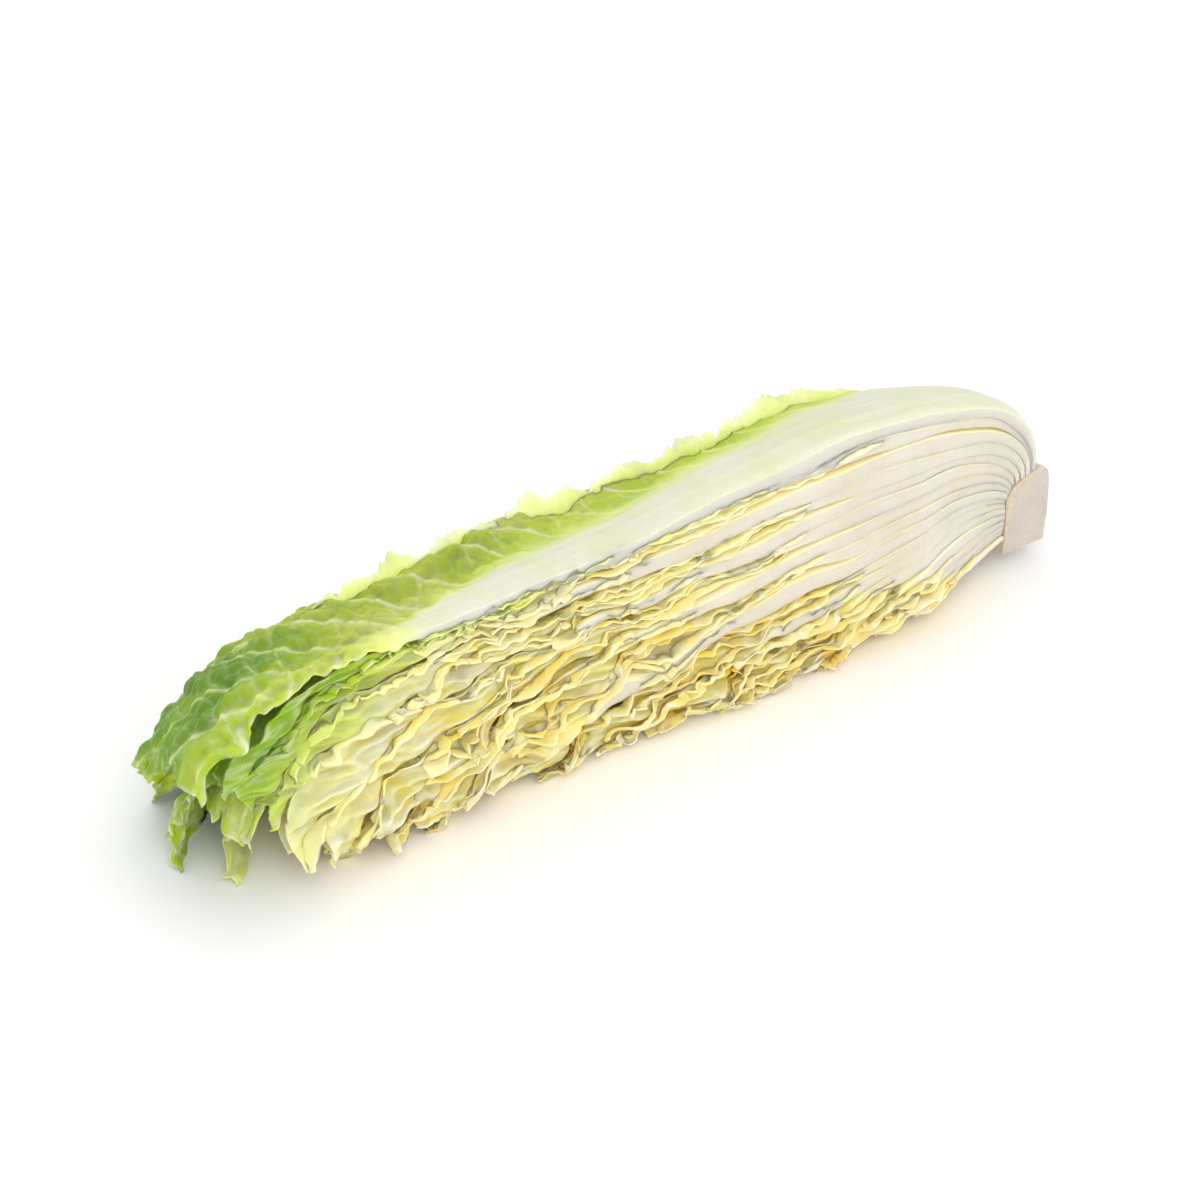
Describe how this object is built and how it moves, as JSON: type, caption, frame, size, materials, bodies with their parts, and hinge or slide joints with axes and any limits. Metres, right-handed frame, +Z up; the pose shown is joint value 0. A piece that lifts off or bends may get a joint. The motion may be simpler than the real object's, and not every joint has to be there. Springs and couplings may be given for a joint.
{
  "type": "quarter wedge of napa cabbage",
  "caption": "Lengthwise quarter of a Chinese cabbage head: flat cut faces meeting along the axis, solid stem at one end, nested ribbed leaves fanning to crinkled tips.",
  "frame": {"origin": "centre of the bounding box's footprint, on the floor the lower cut face lies on", "axes": "+X along the head's axis from leaf tips to trimmed butt; the upright cut face looks along -Y; +Z up, away from the lower cut face"},
  "size_m": [0.351, 0.0914, 0.0828],
  "materials": {
    "core": "moist pinkish-white cut stem, satin",
    "outer_leaf_1": "white midrib with mid-green veined blade, waxy satin",
    "outer_leaf_2": "white midrib with green veined blade, waxy satin",
    "outer_leaf_3": "white midrib with green to yellow-green blade, waxy satin",
    "middle_leaf_1": "white fleshy midrib with crinkled yellow-green blade, satin",
    "middle_leaf_2": "white fleshy midrib with crinkled yellow-green blade, satin",
    "middle_leaf_3": "white fleshy midrib with crinkled yellow-green blade, satin",
    "middle_leaf_4": "white fleshy midrib with crinkled yellow-green blade, satin",
    "middle_leaf_5": "white fleshy midrib with crinkled yellow-green blade, satin",
    "inner_leaf_1": "white to yellow midrib with crinkled pale-yellow blade, satin",
    "inner_leaf_2": "white to yellow midrib with crinkled pale-yellow blade, satin",
    "inner_leaf_3": "white to yellow midrib with crinkled pale-yellow blade, satin",
    "inner_leaf_4": "white to yellow midrib with crinkled pale-yellow blade, satin",
    "heart_leaf_1": "small crinkled orange-yellow leaf, satin",
    "heart_leaf_2": "small crinkled orange-yellow leaf, satin",
    "heart_leaf_3": "small crinkled orange-yellow leaf, satin",
    "heart_leaf_4": "small crinkled orange-yellow leaf, satin",
    "heart_bud": "small crinkled orange-yellow leaf, satin"
  },
  "bodies": {
    "root": {"core": "core", "outer_leaf_1": "outer_leaf_1", "outer_leaf_2": "outer_leaf_2", "outer_leaf_3": "outer_leaf_3", "middle_leaf_1": "middle_leaf_1", "middle_leaf_2": "middle_leaf_2", "middle_leaf_3": "middle_leaf_3", "middle_leaf_4": "middle_leaf_4", "middle_leaf_5": "middle_leaf_5", "inner_leaf_1": "inner_leaf_1", "inner_leaf_2": "inner_leaf_2", "inner_leaf_3": "inner_leaf_3", "inner_leaf_4": "inner_leaf_4", "heart_leaf_1": "heart_leaf_1", "heart_leaf_2": "heart_leaf_2", "heart_leaf_3": "heart_leaf_3", "heart_leaf_4": "heart_leaf_4", "heart_bud": "heart_bud"}
  },
  "joints": []
}
